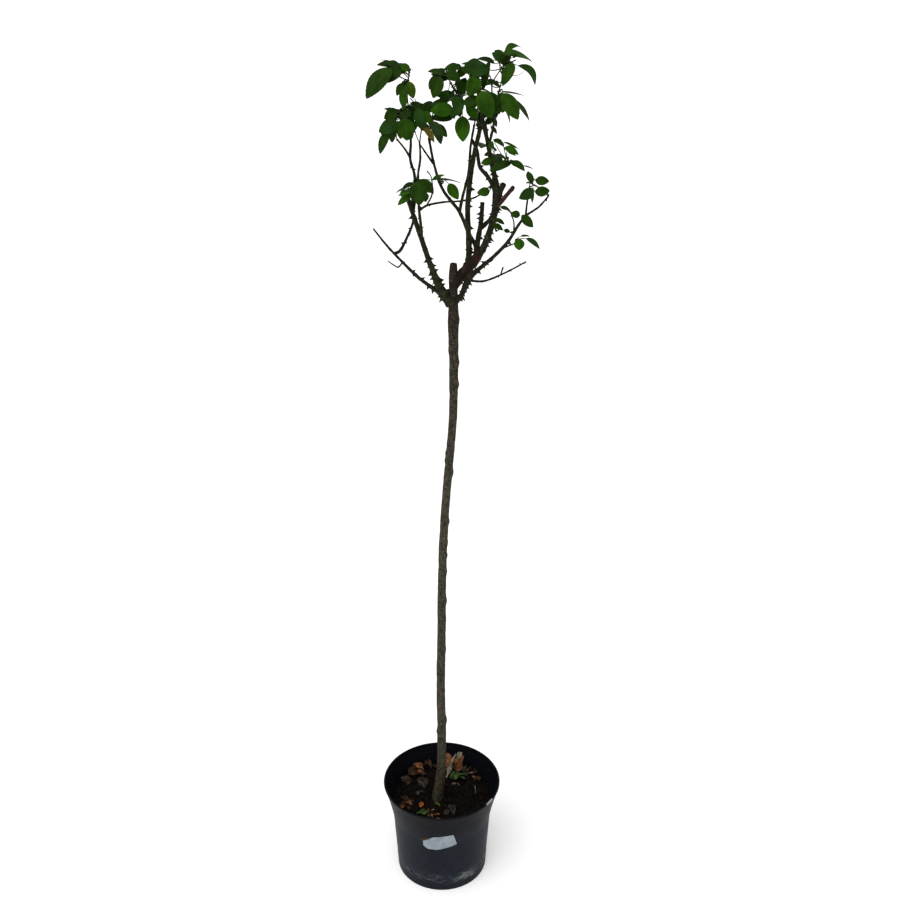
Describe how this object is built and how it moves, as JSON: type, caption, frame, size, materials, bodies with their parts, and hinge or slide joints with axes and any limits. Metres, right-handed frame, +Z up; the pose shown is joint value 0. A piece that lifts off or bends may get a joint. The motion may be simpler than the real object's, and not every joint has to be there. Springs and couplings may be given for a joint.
{
  "type": "standard rose bush in a nursery pot",
  "caption": "Standard rose: a slim bare stem with pruned thorny canes and sparse leafy shoots on top, rooted in compost in a round black nursery pot.",
  "frame": {"origin": "centre of the pot's flat underside", "axes": "+Z up along the stem, -Y towards the front, +X to the right"},
  "size_m": [0.257, 0.233, 1.4385],
  "materials": {
    "pot_plastic": "dull blue-black moulded plastic with pale scuffs near the base and a scratched lip",
    "compost": "dark moist potting compost with dead leaves and crumbs on it",
    "old_bark": "rough grey-brown bark with knots, scars and pale specks",
    "green_bark": "smooth dark olive to brown cane bark with prickles",
    "leaf": "semi-matt green leaf with a serrated edge and sunken veins"
  },
  "bodies": {
    "root": {"back_left_cane": "green_bark", "back_left_fork": "green_bark", "back_left_leaves": "leaf", "back_right_cane": "green_bark", "back_right_leaves": "leaf", "bare_twig": "green_bark", "centre_cane": "green_bark", "centre_inner_cane": "green_bark", "cross_twig": "green_bark", "cross_twig_leaves": "leaf", "crossing_cane": "green_bark", "cut_shoot": "green_bark", "inner_left_leaves": "leaf", "left_cane": "green_bark", "left_inner_cane": "green_bark", "left_leaves": "leaf", "left_side_twig": "green_bark", "left_top_cane": "green_bark", "low_back_leaves": "leaf", "low_left_cane": "green_bark", "low_left_leaves": "leaf", "low_left_riser": "green_bark", "low_left_twiglet": "green_bark", "mid_left_leaves": "leaf", "middle_leaves": "leaf", "pot": "pot_plastic", "pruned_cane": "green_bark", "right_arm": "old_bark", "right_cane": "green_bark", "right_inner_leaves": "leaf", "right_leaves": "leaf", "right_low_leaves": "leaf", "right_low_spur": "green_bark", "right_low_twig": "green_bark", "right_outer_cane": "green_bark", "right_outer_shoot": "green_bark", "right_stalk_leaves": "leaf", "right_tip_leaves": "leaf", "right_top_cane": "green_bark", "soil": "compost", "top_back_leaves": "leaf", "top_centre_leaves": "leaf", "top_fork": "green_bark", "top_front_leaves": "leaf", "top_left_leaves": "leaf", "top_right_leaves": "leaf", "trunk": "old_bark", "upper_right_leaves": "leaf"}
  },
  "joints": []
}
